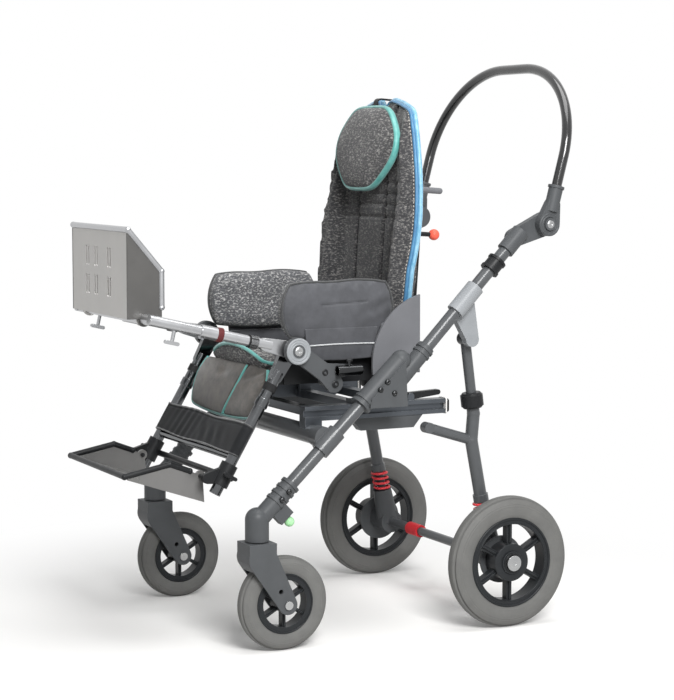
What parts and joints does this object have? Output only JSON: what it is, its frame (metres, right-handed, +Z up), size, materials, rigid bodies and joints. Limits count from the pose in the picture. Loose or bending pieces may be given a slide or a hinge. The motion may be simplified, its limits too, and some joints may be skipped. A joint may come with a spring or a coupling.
{
  "type": "special needs buggy",
  "caption": "Folding special needs buggy: tilting padded seat with reclining back, head pad, legrest, footplate and swing-up front support on caster wheels.",
  "frame": {"origin": "middle of the footprint of the overall box, on the floor", "axes": "+Z up, -Y to the front of the buggy, +X to the child's left"},
  "size_m": [0.6112, 0.9249, 1.0911],
  "materials": {
    "frame_metal": "satin",
    "black_plastic": "matte",
    "black_metal": "gloss",
    "white_plastic": "gloss",
    "steel": "satin",
    "tyre": "matte",
    "rim_plastic": "satin",
    "green_plastic": "gloss",
    "red_metal": "gloss",
    "red_plastic": "gloss",
    "melange_fabric": "woven",
    "nylon_fabric": "smooth woven",
    "suede_fabric": "napped",
    "grey_plate": "satin",
    "bright_chrome": "polished",
    "clear_plastic": "clear"
  },
  "bodies": {
    "chassis": {"lower_tubes": "frame_metal", "upper_tubes": "frame_metal", "frame_knuckles": "black_plastic", "knuckle_sockets": "black_plastic", "tube_collars": "black_plastic", "front_cross_tube": "frame_metal", "seat_base": "black_metal", "rail_skids": "black_plastic", "rail_caps": "white_plastic", "caster_heads": "black_plastic", "frame_bolts": "steel", "handle_brackets": "black_plastic", "leg_brackets": "black_plastic"},
    "caster_left": {"fork_left": "frame_metal", "fork_bolt_left": "steel"},
    "caster_right": {"fork_right": "frame_metal", "fork_bolt_right": "steel"},
    "front_wheel_left": {"front_tyre_left": "tyre", "front_rim_left": "rim_plastic"},
    "front_wheel_right": {"front_tyre_right": "tyre", "front_rim_right": "rim_plastic"},
    "lock_left": {"caster_lock_left": "green_plastic"},
    "lock_right": {"caster_lock_right": "green_plastic"},
    "latches": {"fold_latches": "black_plastic"},
    "rear_frame": {"rear_legs": "frame_metal", "leg_collars": "black_plastic", "spring_left": "red_metal", "spring_right": "red_metal"},
    "rear_axle": {"axle_housings": "black_plastic", "axle_pins": "steel", "axle_bar": "frame_metal"},
    "pedal": {"brake_pedal": "red_plastic"},
    "rear_wheel_left": {"rear_tyre_left": "tyre", "rear_rim_left": "rim_plastic"},
    "rear_wheel_right": {"rear_tyre_right": "tyre", "rear_rim_right": "rim_plastic"},
    "handle": {"handle_tube": "black_metal", "handle_sockets": "black_plastic"},
    "seat": {"seat_pan": "black_metal", "seat_cushion": "melange_fabric", "seat_apron": "suede_fabric", "hip_pad_left": "nylon_fabric", "hip_pad_right": "nylon_fabric", "side_plates": "grey_plate", "knee_links": "grey_plate", "accessory_sockets": "bright_chrome"},
    "backrest": {"back_shell": "black_plastic", "back_cushion": "melange_fabric", "back_knobs": "red_plastic"},
    "headrest": {"head_pad": "melange_fabric", "head_post": "steel"},
    "legrest": {"leg_tubes": "frame_metal", "calf_band": "nylon_fabric"},
    "footrest": {"foot_clamps": "black_plastic"},
    "footplate": {"foot_plate": "grey_plate", "foot_rim": "black_metal"},
    "front_support": {"front_arms": "bright_chrome", "front_panel": "grey_plate", "panel_rim": "grey_plate", "clear_tray": "clear_plastic"}
  },
  "joints": [
    {"name": "caster_swivel_left", "type": "hinge", "parent": "chassis", "child": "caster_left", "pos_m": [0.254, -0.24052, 0.2], "axis": [0, 0, 1], "continuous": true},
    {"name": "front_wheel_spin_left", "type": "hinge", "parent": "caster_left", "child": "front_wheel_left", "pos_m": [0.254, -0.19052, 0.088], "axis": [1, 0, 0], "continuous": true},
    {"name": "caster_lock_pull_left", "type": "slide", "parent": "chassis", "child": "lock_left", "axis": [0, 0.6909, -0.723], "range_m": [0, 0.006], "stiffness_N_per_m": 300, "springref_m": -0.01},
    {"name": "rear_wheel_spin_left", "type": "hinge", "parent": "rear_axle", "child": "rear_wheel_left", "pos_m": [0.278, 0.27748, 0.1275], "axis": [1, 0, 0], "continuous": true},
    {"name": "caster_swivel_right", "type": "hinge", "parent": "chassis", "child": "caster_right", "pos_m": [-0.254, -0.24052, 0.2], "axis": [0, 0, 1], "continuous": true},
    {"name": "front_wheel_spin_right", "type": "hinge", "parent": "caster_right", "child": "front_wheel_right", "pos_m": [-0.254, -0.19052, 0.088], "axis": [1, 0, 0], "continuous": true},
    {"name": "caster_lock_pull_right", "type": "slide", "parent": "chassis", "child": "lock_right", "axis": [0, 0.6909, -0.723], "range_m": [0, 0.006], "stiffness_N_per_m": 300, "springref_m": -0.01},
    {"name": "rear_wheel_spin_right", "type": "hinge", "parent": "rear_axle", "child": "rear_wheel_right", "pos_m": [-0.278, 0.27748, 0.1275], "axis": [1, 0, 0], "continuous": true},
    {"name": "fold_latch_lift", "type": "hinge", "parent": "chassis", "child": "latches", "pos_m": [0, 0.10948, 0.4476], "axis": [1, 0, 0], "range_deg": [0, 35]},
    {"name": "rear_fold", "type": "hinge", "parent": "chassis", "child": "rear_frame", "pos_m": [0, 0.21748, 0.556], "axis": [1, 0, 0], "range_deg": [-10, 0]},
    {"name": "rear_suspension", "type": "slide", "parent": "rear_frame", "child": "rear_axle", "axis": [0, -0.1916, 0.9815], "range_m": [0, 0.014], "stiffness_N_per_m": 20000, "springref_m": -0.014, "deforming": ["spring_left", "spring_right"]},
    {"name": "brake_press", "type": "hinge", "parent": "rear_axle", "child": "pedal", "pos_m": [0, 0.27748, 0.1275], "axis": [1, 0, 0], "range_deg": [-18, 0], "stiffness_Nm_per_rad": 1, "springref_deg": 11.46},
    {"name": "handle_angle", "type": "hinge", "parent": "chassis", "child": "handle", "pos_m": [0, 0.37048, 0.775], "axis": [1, 0, 0], "range_deg": [-150, 30]},
    {"name": "seat_tilt", "type": "hinge", "parent": "chassis", "child": "seat", "pos_m": [0, 0.05348, 0.464], "axis": [1, 0, 0], "range_deg": [-25, 0]},
    {"name": "back_recline", "type": "hinge", "parent": "seat", "child": "backrest", "pos_m": [0, 0.11548, 0.522], "axis": [1, 0, 0], "range_deg": [-35, 0]},
    {"name": "headrest_height", "type": "slide", "parent": "backrest", "child": "headrest", "axis": [0, 0.0698, 0.9976], "range_m": [-0.008, 0.05]},
    {"name": "legrest_angle", "type": "hinge", "parent": "seat", "child": "legrest", "pos_m": [0, -0.14052, 0.547], "axis": [1, 0, 0], "range_deg": [-35, 0]},
    {"name": "footrest_height", "type": "slide", "parent": "legrest", "child": "footrest", "axis": [0, -0.5075, -0.8616], "range_m": [-0.006, 0.018]},
    {"name": "footplate_flip", "type": "hinge", "parent": "footrest", "child": "footplate", "pos_m": [0, -0.30852, 0.317], "axis": [1, 0, 0], "range_deg": [-80, 0]},
    {"name": "front_support_lift", "type": "hinge", "parent": "seat", "child": "front_support", "pos_m": [0, -0.14052, 0.547], "axis": [1, 0, 0], "range_deg": [-70, 0]}
  ]
}
